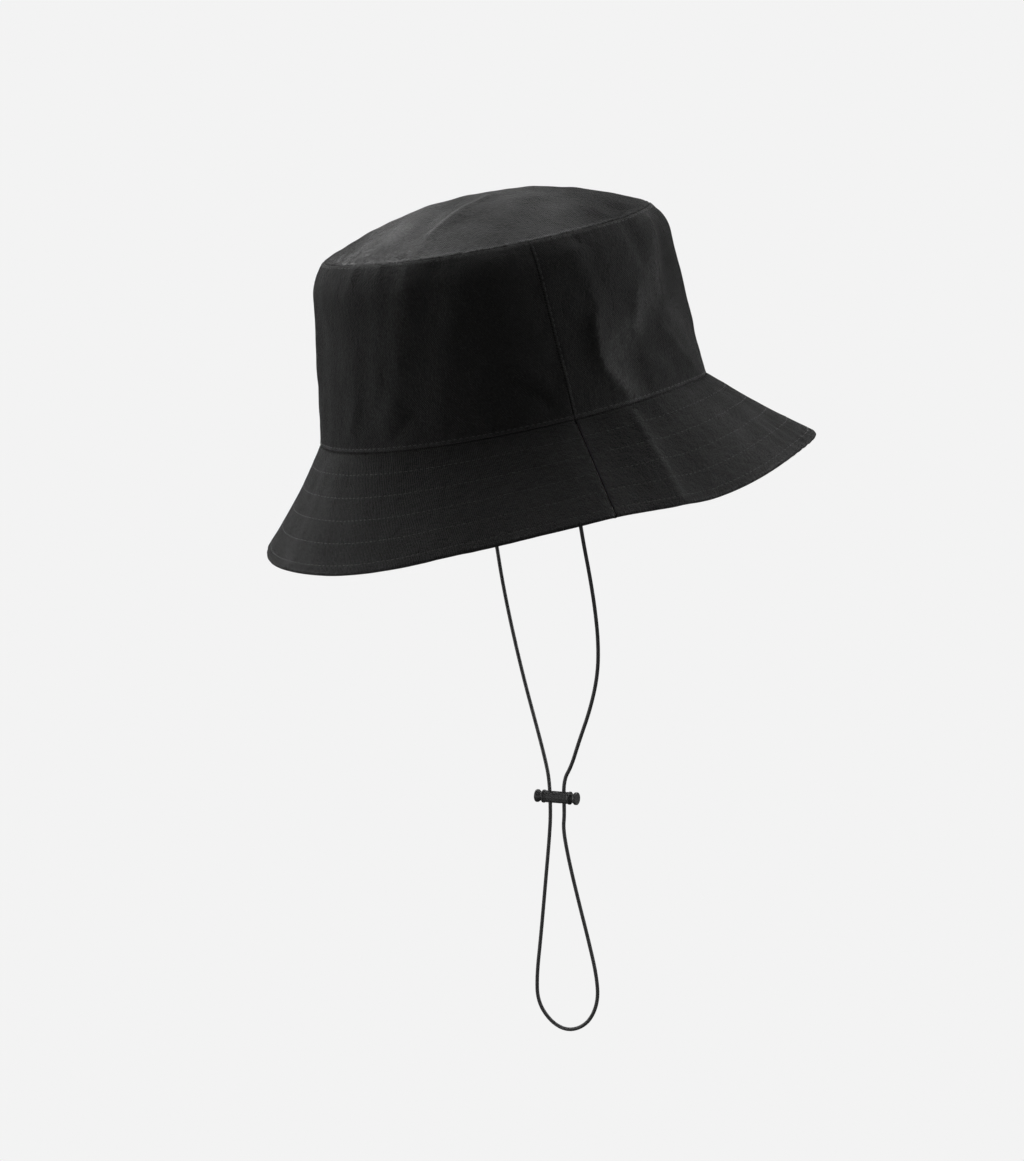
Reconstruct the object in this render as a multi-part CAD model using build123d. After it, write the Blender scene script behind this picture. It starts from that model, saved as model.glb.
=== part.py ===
from build123d import *
import os
from math import atan2, cos, pi, radians, sin, sqrt, tan

# Bucket hat with an elastic chin cord and a double-ended cord lock. Millimetres.
# +Z runs up the crown, -Y is the front of the hat, +X is the wearer's left.
# The origin is the centre of the head opening, at the seam between crown and brim.

# Crown, measured on the outside of the cloth
SEAM_LENGTH = 205.0        # front to back, at the seam between crown and brim
SEAM_WIDTH = 173.0
WALL_HEIGHT = 90.0         # from the brim seam to the tip seam
LEAN_ENDS = 16.5           # how far the wall comes in by the tip seam, front and back
LEAN_SIDES = 13.9
CROWN_SET_BACK = 2.8       # the tip sits this far behind the head opening
DOME_HEIGHT = 18.5

# Brim
BRIM_WIDTH = 64.0          # along the slope, seam to edge
BRIM_SLOPE_SIDE = 42.5     # degrees below level
BRIM_SLOPE_FRONT = 52.5
BRIM_SLOPE_BACK = 43.0
STIFFENER_MARGIN = 1.5     # the stiffener stops short of the brim's edge and seam

# Cloths
TWILL = 0.8
LINING = 0.5
STIFFENER = 0.6
BAND = 1.0
PLY_GAP = 0.3              # between one ply and the next
BRIM_PLY_GAP = 0.2
SEAM_GAP = 0.3             # between two panels that a side seam joins
TIP_SEAM_GAP = 0.8         # between the tip and the top of the wall
BAND_HEIGHT = 34.0
BAND_RAISE = 0.5           # lower edge of the sweatband above the brim seam
LINING_RAISE = 2.0

# Cord tabs, one on each side, folded from tape and sewn behind the sweatband
TAB_WIDTH = 9.0
TAB_THICKNESS = 3.2
TAB_TOP = 12.0
TAB_BOTTOM = -2.0

# Chin cord, braided elastic, and its lock
CORD_D = 2.0
CORD_X = 81.0              # where the two runs leave their tabs
LOCK_CENTRE = (0, -18.4, -207.5)
LOCK_AXIS = (0.70, 0.70, -0.12)
LOCK_UP = (0.02, 0.15, 0.99)
HOLE_OFFSET = 4.05         # each strand from the middle of the lock
BARREL_LENGTH = 16.0
BARREL_D = 6.3
BARREL_COLLAR_D = 6.9
BARREL_COLLAR_LENGTH = 0.9
BARREL_BORE_D = 4.5
BARREL_FLUTES = 12
FLUTE_D = 1.0
FLUTE_DEPTH = 0.18
LOCK_HOLE_D = 3.2
HOLE_SHIFT = 0.45          # at rest the two holes stand this far each side of the strand
STEM_D = 4.3
STEM_INNER_END = 2.4       # from the middle of the lock, at rest
BUTTON_NECK_START = 9.2    # clear of the barrel's end by the button's travel
BUTTON_FLARE_END = 10.8
BUTTON_TIP = 12.0
BUTTON_D = 6.7
SPRING_D = 3.4
SPRING_WIRE = 0.4
SPRING_TURNS = 4

SECTIONS = 11              # cross-sections that a half-round panel is lofted through


# Ovals and cross-sections

def seam_point(turn):
    """A point of the brim seam and the outward direction there; turn 0 is +X."""
    half_width = SEAM_WIDTH / 2
    half_length = SEAM_LENGTH / 2
    x = half_width * cos(turn)
    y = half_length * sin(turn)
    out = Vector(cos(turn) / half_width, sin(turn) / half_length, 0).normalized()
    return Vector(x, y, 0), out


CROWN_SHEAR = CROWN_SET_BACK / WALL_HEIGHT


def place(turn, across, up, shear=CROWN_SHEAR):
    """The point that lies `across` outward and `up` above the brim seam."""
    base, out = seam_point(turn)
    return base + out * across + Vector(0, up * shear, up)


def polygon(turn, corners, shear=CROWN_SHEAR):
    """A flat closed wire of straight edges at one place round the hat."""
    points = [place(turn, across, up, shear) for across, up in corners]
    sides = zip(points, points[1:] + points[:1])
    return Wire([Edge.make_line(a, b) for a, b in sides])


def ring(start, end, section):
    """Loft a closed section round the hat, from one angle in degrees to another."""
    count = max(2, round(SECTIONS * (end - start) / 180))
    step = (end - start) / (count - 1)
    turns = [radians(start + i * step) for i in range(count)]
    return Solid.make_loft([section(turn) for turn in turns])


def half_seam_angle():
    """Half of the gap at a side seam, in degrees round the oval."""
    return SEAM_GAP / SEAM_LENGTH * 180 / pi


def halves(section):
    """The front and back panels that share one section."""
    gap = half_seam_angle()
    return ring(-180 + gap, -gap, section), ring(gap, 180 - gap, section)


# Crown

def lean(turn):
    return LEAN_SIDES + (LEAN_ENDS - LEAN_SIDES) * sin(turn) ** 2


# The wall is straight up to the shoulder, then turns in on one arc to the tip seam.
SHOULDER = (0.533, 74.0)       # share of the lean reached, and height
SHOULDER_MIDDLE = (0.685, 82.8)
WALL_ANGLE = atan2(SHOULDER[0] * LEAN_ENDS, SHOULDER[1])
TIP_ANGLE = radians(44.6)
MIDDLE_ANGLE = (WALL_ANGLE + TIP_ANGLE) / 2


def wall_line(turn, depth, bottom):
    """Foot, shoulder, middle of the arc and top of the wall, `depth` inside its face."""
    inward = lean(turn)
    stations = [
        (-inward * SHOULDER[0] * bottom / SHOULDER[1], bottom, WALL_ANGLE),
        (-inward * SHOULDER[0], SHOULDER[1], WALL_ANGLE),
        (-inward * SHOULDER_MIDDLE[0], SHOULDER_MIDDLE[1], MIDDLE_ANGLE),
        (-inward, WALL_HEIGHT, TIP_ANGLE),
    ]
    line = []
    for across, up, angle in stations:
        line.append(place(turn, across - depth * cos(angle), up - depth * sin(angle)))
    return line


def wall_section(depth, thickness, bottom):
    """The section of a ply of the crown's wall."""
    def section(turn):
        foot, shoulder, middle, top = wall_line(turn, depth, bottom)
        foot_in, shoulder_in, middle_in, top_in = wall_line(turn, depth + thickness, bottom)
        return Wire([
            Edge.make_line(foot, shoulder),
            Edge.make_three_point_arc(shoulder, middle, top),
            Edge.make_line(top, top_in),
            Edge.make_three_point_arc(top_in, middle_in, shoulder_in),
            Edge.make_line(shoulder_in, foot_in),
            Edge.make_line(foot_in, foot),
        ])
    return section


def dome(edge_inset, depth, thickness):
    """A shallow cap on the tip's oval, `depth` below the outer face of the crown tip."""
    radius = SEAM_LENGTH / 2 - LEAN_ENDS - edge_inset
    width_ratio = (SEAM_WIDTH / 2 - LEAN_SIDES - edge_inset) / radius
    ball = (radius ** 2 + DOME_HEIGHT ** 2) / (2 * DOME_HEIGHT)
    half_turn = atan2(radius, ball - DOME_HEIGHT) / 2
    centre_height = WALL_HEIGHT + DOME_HEIGHT - ball

    def on_arc(turn, depth_here):
        reach = ball - depth_here
        return (reach * sin(turn), centre_height + reach * cos(turn))

    outer = ThreePointArc(on_arc(0, depth), on_arc(half_turn, depth), on_arc(2 * half_turn, depth))
    low = depth + thickness
    inner = ThreePointArc(on_arc(2 * half_turn, low), on_arc(half_turn, low), on_arc(0, low))
    edge = Line(outer @ 1, inner @ 0)
    axis_side = Line(inner @ 1, outer @ 0)
    profile = make_face(Plane.XZ * (outer + edge + inner + axis_side))
    cap = revolve(profile, Axis.Z)
    return Pos(0, CROWN_SET_BACK, 0) * scale(cap, by=(width_ratio, 1, 1))


def sweatband():
    """One strip round the inside of the head opening, butted at the back."""
    depth = TWILL + PLY_GAP + LINING + PLY_GAP
    gap = half_seam_angle()

    def section(turn):
        slope = lean(turn) * SHOULDER[0] / SHOULDER[1]
        low = BAND_RAISE
        high = BAND_RAISE + BAND_HEIGHT
        return polygon(turn, [
            (-depth - slope * low, low),
            (-depth - slope * high, high),
            (-depth - BAND - slope * high, high),
            (-depth - BAND - slope * low, low),
        ])
    return ring(90 + gap, 450 - gap, section)


# Brim

def brim_slope(turn):
    ends = BRIM_SLOPE_BACK if sin(turn) > 0 else BRIM_SLOPE_FRONT
    return radians(BRIM_SLOPE_SIDE + (ends - BRIM_SLOPE_SIDE) * sin(turn) ** 2)


def brim_section(depth, thickness, margin):
    """The section of a ply of the brim, `depth` below its upper face."""
    def section(turn):
        slope = brim_slope(turn)

        def corner(along, down):
            across = along * cos(slope) - down * sin(slope)
            return across, -PLY_GAP - along * sin(slope) - down * cos(slope)

        near = margin
        far = BRIM_WIDTH - margin
        low = depth + thickness
        corners = [corner(near, depth), corner(far, depth), corner(far, low), corner(near, low)]
        return polygon(turn, corners, shear=0)
    return section


# Chin cord

def cord_tab(side):
    """The folded tape that one end of the cord is sewn into; side 0 is the wearer's left."""
    depth = TWILL + LINING + BAND + 3 * PLY_GAP
    half_turn = TAB_WIDTH / SEAM_LENGTH * 180 / pi
    middle = 180 * side

    def section(turn):
        slope = lean(turn) * SHOULDER[0] / SHOULDER[1]
        return polygon(turn, [
            (-depth, TAB_BOTTOM),
            (-depth - slope * TAB_TOP, TAB_TOP),
            (-depth - TAB_THICKNESS - slope * TAB_TOP, TAB_TOP),
            (-depth - TAB_THICKNESS, TAB_BOTTOM),
        ])
    return ring(middle - half_turn, middle + half_turn, section)


LEFT_RUN = [
    (81, 0, -2), (81, 0, -12), (78, 1, -27), (70.5, 2, -45), (61.5, 3.5, -66), (53, 6.5, -86),
    (45.5, 8.5, -106), (38, 9, -125), (31, 7.5, -142), (23.5, 2.5, -160), (15.5, -5.5, -178),
    (8.5, -11.5, -190), (3.02, -14.21, -199.1), (2.84, -15.56, -208),
]
RIGHT_RUN = [
    (-81, 0, -2), (-81, 0, -12), (-78.5, -1.5, -29), (-71, -4, -53), (-60.5, -8, -80),
    (-50.5, -11.5, -102), (-39, -14.2, -127), (-28, -16, -151), (-18, -17, -172),
    (-9, -18.3, -188), (-2.66, -19.89, -198.1), (-2.84, -21.24, -207),
]
LOOP = [
    (-2.84, -21.24, -207), (-3.02, -22.59, -215.9), (-4.4, -25.8, -229), (-7.4, -31.8, -253),
    (-11, -39.2, -281), (-13.8, -45, -303), (-14.4, -48.4, -318), (-9.5, -45, -330),
    (-1, -36.5, -334), (8, -26.5, -330), (12, -20.5, -319), (11.8, -18.8, -304),
    (9, -19, -284), (5.9, -19.4, -261), (3.2, -19.3, -241), (2.5, -17.6, -225),
    (2.66, -16.91, -216.9), (2.84, -15.56, -208),
]


def cord_tube(name, route):
    """A round tube along straight runs, joined by arcs as large as the runs allow."""
    points = [Vector(*p) for p in route]
    runs = [b - a for a, b in zip(points, points[1:])]
    radii = []
    for before, after in zip(runs, runs[1:]):
        half_turn = radians(before.get_angle(after)) / 2
        radii.append(0.45 * min(before.length, after.length) / tan(half_turn))
    path = FilletPolyline(*points, radius=radii)
    start = Plane(points[0], z_dir=runs[0])
    tube = sweep(start * Circle(CORD_D / 2), path=path)
    section_area = pi * CORD_D ** 2 / 4
    print(f"{name}: length {path.length:.1f}, smallest radius {min(radii):.1f},",
          f"volume over section times length {tube.volume / section_area / path.length:.4f}")
    return tube


# Cord lock, modelled along X about its middle and then put in place

LOCK_PLACE = Plane(LOCK_CENTRE, x_dir=LOCK_AXIS, z_dir=LOCK_UP).location


def round_along_x(outline):
    """Turn an outline of (along X, radius) points about the X axis."""
    return revolve(make_face(Polyline(*outline, close=True)), Axis.X)


def cross_hole(x):
    """A hole for one strand of the cord, through the lock from top to bottom."""
    return Pos(x, 0, 0) * Cylinder(LOCK_HOLE_D / 2, 2 * BARREL_D)


def lock_barrel():
    """The moulded sleeve that both buttons slide in."""
    end = BARREL_LENGTH / 2
    collar = end - BARREL_COLLAR_LENGTH
    body = round_along_x([
        (-end, BARREL_BORE_D / 2), (-end, BARREL_COLLAR_D / 2), (-collar, BARREL_COLLAR_D / 2),
        (-collar, BARREL_D / 2), (collar, BARREL_D / 2), (collar, BARREL_COLLAR_D / 2),
        (end, BARREL_COLLAR_D / 2), (end, BARREL_BORE_D / 2),
    ])
    body = fillet(body.edges().filter_by(GeomType.CIRCLE).sort_by(SortBy.RADIUS)[-4:], 0.2)
    flute_centre = BARREL_D / 2 + FLUTE_D / 2 - FLUTE_DEPTH
    for i in range(BARREL_FLUTES):
        flute = Pos(0, flute_centre, 0) * Rot(0, 90, 0) * Cylinder(FLUTE_D / 2, 2 * collar)
        body -= Rot(360 / BARREL_FLUTES * (i + 0.5), 0, 0) * flute
    for side in (-1, 1):
        body -= cross_hole(side * (HOLE_OFFSET - HOLE_SHIFT))
    return body


def lock_button(side):
    """A push button and its stem; side 1 is the end that LOCK_AXIS points to."""
    rim = BUTTON_D / 2
    neck = STEM_D / 2
    body = round_along_x([
        (STEM_INNER_END, 0), (STEM_INNER_END, neck), (BUTTON_NECK_START, neck),
        (BUTTON_FLARE_END, rim), (BUTTON_TIP, rim), (BUTTON_TIP, 0),
    ])
    body = fillet(body.edges().filter_by(GeomType.CIRCLE).sort_by(SortBy.RADIUS)[-2:], 0.3)
    body -= cross_hole(HOLE_OFFSET + HOLE_SHIFT)
    dish = Sphere(8 * BUTTON_D)
    body -= Pos(BUTTON_TIP - 0.1 + 8 * BUTTON_D, 0, 0) * dish
    return body if side == 1 else Rot(0, 0, 180) * body


def lock_spring():
    """The compression spring between the two stems."""
    coil_radius = (SPRING_D - SPRING_WIRE) / 2
    height = 2 * STEM_INNER_END - SPRING_WIRE - 0.1
    line = Helix(pitch=height / SPRING_TURNS, height=height, radius=coil_radius)
    wire = sweep(Plane(line @ 0, z_dir=line % 0) * Circle(SPRING_WIRE / 2), path=line)
    return Rot(0, 90, 0) * Pos(0, 0, -height / 2) * wire


# Assembly

LINING_DEPTH = TWILL + PLY_GAP
STIFFENER_DEPTH = TWILL + BRIM_PLY_GAP
UNDER_DEPTH = STIFFENER_DEPTH + STIFFENER + BRIM_PLY_GAP

crown_front, crown_back = halves(wall_section(0, TWILL, 0))
lining_front, lining_back = halves(wall_section(LINING_DEPTH, LINING, LINING_RAISE))
brim_top_front, brim_top_back = halves(brim_section(0, TWILL, 0))
stiffener_front, stiffener_back = halves(
    brim_section(STIFFENER_DEPTH, STIFFENER, STIFFENER_MARGIN))
brim_under_front, brim_under_back = halves(brim_section(UNDER_DEPTH, TWILL, 0))

parts = {
    "crown_tip": dome(TIP_SEAM_GAP, 0, TWILL),
    "crown_front": crown_front,
    "crown_back": crown_back,
    "brim_top_front": brim_top_front,
    "brim_top_back": brim_top_back,
    "brim_stiffener_front": stiffener_front,
    "brim_stiffener_back": stiffener_back,
    "brim_under_front": brim_under_front,
    "brim_under_back": brim_under_back,
    "lining_tip": dome(2 * TIP_SEAM_GAP, LINING_DEPTH, LINING),
    "lining_front": lining_front,
    "lining_back": lining_back,
    "sweatband": sweatband(),
    "cord_tab_left": cord_tab(0),
    "cord_tab_right": cord_tab(1),
    "chin_cord_left": cord_tube("chin_cord_left", LEFT_RUN),
    "chin_cord_right": cord_tube("chin_cord_right", RIGHT_RUN),
    "chin_cord_loop": cord_tube("chin_cord_loop", LOOP),
    "lock_barrel": LOCK_PLACE * lock_barrel(),
    "lock_button_left": LOCK_PLACE * lock_button(1),
    "lock_button_right": LOCK_PLACE * lock_button(-1),
    "lock_spring": LOCK_PLACE * lock_spring(),
}

os.makedirs("parts", exist_ok=True)
for name, solid in parts.items():
    export_step(solid, f"parts/{name}.step")
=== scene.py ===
import math
import random

import bmesh
import bpy
import numpy as np
from mathutils import Matrix, Vector


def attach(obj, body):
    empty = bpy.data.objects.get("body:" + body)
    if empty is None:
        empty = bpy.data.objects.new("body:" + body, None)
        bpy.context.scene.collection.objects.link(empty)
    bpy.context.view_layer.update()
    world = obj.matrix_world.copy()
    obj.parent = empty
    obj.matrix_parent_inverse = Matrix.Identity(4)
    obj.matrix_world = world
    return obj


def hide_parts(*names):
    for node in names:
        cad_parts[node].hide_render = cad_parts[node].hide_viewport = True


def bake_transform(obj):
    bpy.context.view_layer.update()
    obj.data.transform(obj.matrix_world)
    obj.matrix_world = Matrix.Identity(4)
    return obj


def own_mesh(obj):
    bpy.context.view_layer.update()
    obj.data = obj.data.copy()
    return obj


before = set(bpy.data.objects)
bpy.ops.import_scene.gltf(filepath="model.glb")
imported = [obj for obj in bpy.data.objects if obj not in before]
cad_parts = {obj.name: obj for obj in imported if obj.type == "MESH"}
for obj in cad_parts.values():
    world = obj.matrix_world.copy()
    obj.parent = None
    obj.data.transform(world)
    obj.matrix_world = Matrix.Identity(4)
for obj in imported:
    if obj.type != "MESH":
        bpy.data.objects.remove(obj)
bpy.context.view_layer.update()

# A black twill bucket hat with an elastic chin cord and its lock. Lengths are in millimetres
# up to the point where a mesh is made; Blender's own units are metres.
# +Z runs up the crown, -Y is the front, +X is the wearer's left.

MM = 0.001

# Hat, the driving sizes of the design
SEAM_LENGTH = 205.0
SEAM_WIDTH = 173.0
WALL_HEIGHT = 90.0
LEAN_ENDS = 16.5
LEAN_SIDES = 13.9
CROWN_SET_BACK = 2.8
DOME_HEIGHT = 20.8
BRIM_WIDTH = 64.0
BAND_HEIGHT = 34.0

# Thickness of each cloth, and how far it lies behind the hat's outer face
TWILL = 0.7
BRIM_TWILL = 0.6
INTERLINING = 0.5
LINING = 0.35
BAND = 0.8
INTERLINING_DEPTH = 1.05
LINING_DEPTH = 1.5
LINING_TIP_DEPTH = 1.6
BAND_DEPTH = 2.9

# Stitching
FIRST_BRIM_ROW = 11.0
BRIM_ROW_PITCH = 12.0
BRIM_ROWS = [FIRST_BRIM_ROW + BRIM_ROW_PITCH * i for i in range(5)]
STITCH_PITCH = 3.0
THREAD_RADIUS = 0.17
STITCH_SIDES = 6
BAR_PITCH = 1.4            # of the bar of stitches that closes a cord tab
BASE_ROW = 1.9             # crown topstitch above the brim seam
TIP_ROW = 1.7              # crown topstitch below the tip seam
SIDE_ROW = 1.7             # topstitch behind the side seam

CORD_D = 2.0


# How the hat sits, as (degrees round from its left side, value) pairs; -90 is the front.
BRIM_SLOPES = [(-150, 47), (-120, 51.5), (-90, 52.8), (-60, 53.9), (-30, 44.8), (0, 40.6),
               (30, 48.7), (60, 37.5), (90, 41.4), (120, 46.5), (150, 45), (180, 42.5)]
BRIM_DIPS = [(-90, 1.7), (0, 0.9), (90, 0.8), (180, 1.2)]      # hollow of the slope
FOOT_RISES = [(-105, 0), (-45, 0), (0, 0), (45, -1.1), (75, -4.3), (120, -3.2), (180, 0)]
FOOT_SHIFTS = [(-90, 0.1), (0, -0.2), (90, -2.1), (180, 0.2)]  # the wall's foot, outward
TOP_SHIFTS = [(-90, -0.6), (0, -2.4), (90, -0.5), (180, -0.6)]  # the tip seam, outward
WALL_TOPS = [(-90, 91.6), (0, 89), (90, 87.2), (180, 86)]
SEAM_DRIFT = 4.5           # the side seams run this much further back at the brim


# ---------------------------------------------------------------- the hat's surfaces

def oval_table():
    """Angles round the seam oval and the arc length from the left side seam to each."""
    turn = np.linspace(-math.pi, math.pi, 2881)
    speed = np.hypot(SEAM_WIDTH / 2 * np.sin(turn), SEAM_LENGTH / 2 * np.cos(turn))
    steps = (speed[1:] + speed[:-1]) / 2 * np.diff(turn)
    length = np.concatenate([[0], np.cumsum(steps)])
    return turn, length - length[len(turn) // 2]


TURNS, ARC = oval_table()
ROUND = ARC[-1] - ARC[0]       # the whole way round the seam


def turn_at(u):
    """The oval angle at arc length u, which may run past half way round."""
    laps = np.floor((u + ROUND / 2) / ROUND)
    return np.interp(u - laps * ROUND, ARC, TURNS) + laps * 2 * math.pi


def seam_point(turn):
    """Points of the seam oval and the outward directions there."""
    half_width, half_length = SEAM_WIDTH / 2, SEAM_LENGTH / 2
    base = np.stack([half_width * np.cos(turn), half_length * np.sin(turn)], -1)
    out = np.stack([np.cos(turn) / half_width, np.sin(turn) / half_length], -1)
    return base, out / np.linalg.norm(out, axis=-1, keepdims=True)


def smooth(low, high, value):
    """An even step from 0 at low to 1 at high."""
    t = np.clip((value - low) / (high - low), 0, 1)
    return t * t * (3 - 2 * t)


def bump(distance, width):
    return np.exp(-(distance / width) ** 2)


def wrap(du):
    """The shorter way round the hat, as a signed length."""
    return (du + ROUND / 2) % ROUND - ROUND / 2


def fold(u, v, line, width, height, wraps=True):
    """Height of a soft ridge along a line of points; a negative height is a valley."""
    nearest = np.full(np.shape(u), 1e9)
    for (u0, v0), (u1, v1) in zip(line, line[1:]):
        du = wrap(u - u0) if wraps else u - u0
        dv = v - v0
        eu, ev = u1 - u0, v1 - v0
        t = np.clip((du * eu + dv * ev) / (eu * eu + ev * ev), 0, 1)
        nearest = np.minimum(nearest, (du - t * eu) ** 2 + (dv - t * ev) ** 2)
    return height * np.exp(-nearest / width ** 2)


def folds(u, v, shapes, wraps=True):
    return sum(fold(u, v, line, width, height, wraps) for line, width, height in shapes)


def rumple(x, y, seed, size, stretch=1.0):
    """Smooth unevenness between about -1 and 1, of a given size, longer along y."""
    rng = random.Random(seed)
    total = np.zeros(np.shape(x))
    for _ in range(14):
        angle = rng.uniform(0, math.pi)
        pitch = size * rng.uniform(0.6, 1.6)
        phase = rng.uniform(0, 2 * math.pi)
        kx = 2 * math.pi * math.cos(angle) / pitch
        ky = 2 * math.pi * math.sin(angle) / (pitch * stretch)
        total = total + np.sin(kx * x + ky * y + phase)
    return total / 5.3


def rumple_round(turn, y, seed, size, stretch=1.0):
    """Unevenness that meets itself all the way round the hat."""
    radius = (SEAM_LENGTH + SEAM_WIDTH) / 4
    x = radius * np.cos(turn)
    z = radius * np.sin(turn)
    one = rumple(x + 0.35 * z, y, seed, size, stretch)
    other = rumple(z - 0.35 * x, y, seed + 1, size, stretch)
    return 0.7 * one + 0.7 * other


# Soft folds in the crown's wall: a line of (round from the left side seam, height up the
# wall) points, with the back of the hat at positive values, then width and height.
WALL_FOLDS = [
    ([(-110, 86), (-111, 56), (-113, 20)], 9.0, 1.1),
    ([(-101, 80), (-104, 40)], 6.0, -0.5),
    ([(-92, 84), (-95, 50), (-97, 22)], 7.0, 0.9),
    ([(-80, 76), (-84, 44)], 6.0, 0.5),
    ([(-54, 90), (-64, 57), (-77, 16)], 9.0, -1.9),
    ([(-89, 7), (-84, 11), (-77, 17)], 2.6, -1.3),
    ([(-95, 14), (-88, 22)], 4.0, 0.8),
    ([(-117, 11), (-111, 22)], 3.0, 0.8),
    ([(-126, 10), (-122, 24)], 3.0, -0.6),
    ([(-22, 26), (-14, 19), (-8, 11)], 2.6, -1.2),
    ([(-20, 31), (-8, 21)], 4.5, 0.8),
    ([(24, 78), (28, 62), (31, 47)], 6.0, 1.1),
    ([(27, 44), (26, 29), (28, 19), (38, 5)], 4.0, 1.7),
    ([(17, 40), (17, 22)], 6.0, -0.8),
    ([(40, 30), (46, 18)], 6.0, -1.2),
    ([(70, 92), (67, 80), (71, 66)], 5.5, -1.7),
    ([(90, 84), (84, 66), (76, 50)], 3.8, 2.0),
    ([(98, 78), (92, 55), (88, 40)], 6.0, -1.4),
    ([(61, 54), (55, 42), (52, 34)], 4.0, 1.6),
    ([(72, 32), (86, 16), (102, 3)], 3.8, 1.8),
    ([(64, 22), (78, 8)], 4.0, -1.2),
    ([(28, 89), (29, 83)], 2.0, -0.8),
    ([(118, 76), (124, 30)], 8.0, 1.3),
    ([(141, 84), (138, 40)], 7.0, -1.2),
    ([(158, 70), (166, 18)], 7.0, 1.2),
    ([(187, 84), (180, 50)], 8.0, -1.3),
    ([(203, 60), (212, 12)], 6.0, 1.2),
    ([(232, 88), (226, 44)], 8.0, 1.3),
    ([(252, 34), (262, 8)], 4.5, -1.2),
    ([(281, 80), (276, 30)], 7.0, -1.1),
    ([(-276, 74), (-270, 22)], 7.0, 1.2),
    ([(-250, 86), (-246, 50)], 7.0, -1.2),
    ([(-232, 44), (-222, 10)], 5.0, 1.3),
    ([(-205, 84), (-201, 36)], 7.0, 1.0),
    ([(-182, 66), (-186, 12)], 7.0, -1.3),
    ([(-160, 86), (-157, 38)], 7.0, 1.1),
    ([(-143, 58), (-146, 14)], 6.0, -1.0),
]

# Folds in the brim: (round from the left side seam, down the slope from the crown).
BRIM_FOLDS = [
    ([(37, 4), (34, 26), (31, 60)], 4.0, 1.2),
    ([(46, 16), (44, 62)], 7.0, -0.5),
    ([(97, 16), (90, 44)], 3.5, 0.55),
    ([(88, 14), (80, 44)], 4.5, -0.3),
    ([(106, 24), (99, 50)], 3.2, -0.35),
    ([(112, 12), (108, 40)], 3.0, 0.5),
    ([(-118, 16), (-110, 60)], 7.0, -0.5),
    ([(-138, 6), (-136, 60)], 4.0, 0.5),
    ([(-70, 30), (-60, 62)], 9.0, 0.5),
    ([(-20, 34), (-14, 64)], 9.0, -0.4),
    ([(150, 20), (158, 62)], 6.0, 0.7),
    ([(186, 10), (182, 56)], 7.0, -0.6),
    ([(222, 22), (228, 62)], 6.0, 0.7),
    ([(262, 14), (256, 58)], 6.0, -0.5),
    ([(-262, 20), (-256, 60)], 7.0, 0.6),
    ([(-224, 14), (-228, 58)], 7.0, -0.6),
    ([(-188, 24), (-182, 62)], 6.0, 0.6),
]


def around(turn, pairs):
    """A value that changes smoothly round the hat, given at a few angles in degrees."""
    angles = np.radians([angle for angle, _ in pairs])
    values = np.array([value for _, value in pairs], float)
    count = len(pairs)
    knots = np.concatenate([angles, [angles[0] + 2 * math.pi]])
    spans = np.diff(knots)
    rise = (np.roll(values, -1) - np.roll(values, 1)) / (spans + np.roll(spans, 1))
    place = (turn - angles[0]) % (2 * math.pi) + angles[0]
    i = np.clip(np.searchsorted(knots, place, side="right") - 1, 0, count - 1)
    j = (i + 1) % count
    t = (place - knots[i]) / spans[i]
    ends = (1 + 2 * t) * (1 - t) ** 2 * values[i] + t * t * (3 - 2 * t) * values[j]
    return ends + spans[i] * (t * (1 - t) ** 2 * rise[i] - t * t * (1 - t) * rise[j])


def lean(turn):
    """How far the tip seam stands inside the brim seam."""
    return LEAN_SIDES + (LEAN_ENDS - LEAN_SIDES) * np.sin(turn) ** 2


# The wall's section: straight to the shoulder, then one arc in to the tip seam.
SHOULDER_ACROSS, SHOULDER_UP = 0.533, 74.0
WALL_ANGLE = math.atan2(SHOULDER_ACROSS * LEAN_ENDS, SHOULDER_UP)
TIP_ANGLE = math.radians(44.6)
STRAIGHT = math.hypot(SHOULDER_ACROSS * LEAN_ENDS, SHOULDER_UP)
SHOULDER_RADIUS = (WALL_HEIGHT - SHOULDER_UP) / (math.sin(TIP_ANGLE) - math.sin(WALL_ANGLE))
WALL_RUN = STRAIGHT + SHOULDER_RADIUS * (TIP_ANGLE - WALL_ANGLE)


def wall_section(run):
    """Share of the lean, height, and the face's tilt at a distance up the wall."""
    angle = WALL_ANGLE + np.maximum(run - STRAIGHT, 0) / SHOULDER_RADIUS
    straight = np.minimum(run, STRAIGHT)
    inward = straight * math.sin(WALL_ANGLE)
    inward = inward + SHOULDER_RADIUS * (math.cos(WALL_ANGLE) - np.cos(angle))
    up = straight * math.cos(WALL_ANGLE)
    up = up + SHOULDER_RADIUS * (np.sin(angle) - math.sin(WALL_ANGLE))
    return inward / LEAN_ENDS, up, angle


def wall_relief(turn, u, run):
    """How far the folds lift the wall's cloth, without its seams."""
    height = run * WALL_HEIGHT / WALL_RUN
    lift = 0.75 * folds(u, height, WALL_FOLDS)
    lift = lift + 0.45 * rumple_round(turn, height, 5, 52, 1.8)
    lift = lift + 0.24 * rumple_round(turn, height, 9, 19, 1.6)
    lift = lift + 0.07 * rumple_round(turn, height, 13, 8, 1.3)
    held = smooth(0, 9, run) * smooth(0, 7, WALL_RUN - run)
    return lift * (0.25 + 0.75 * held)


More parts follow.
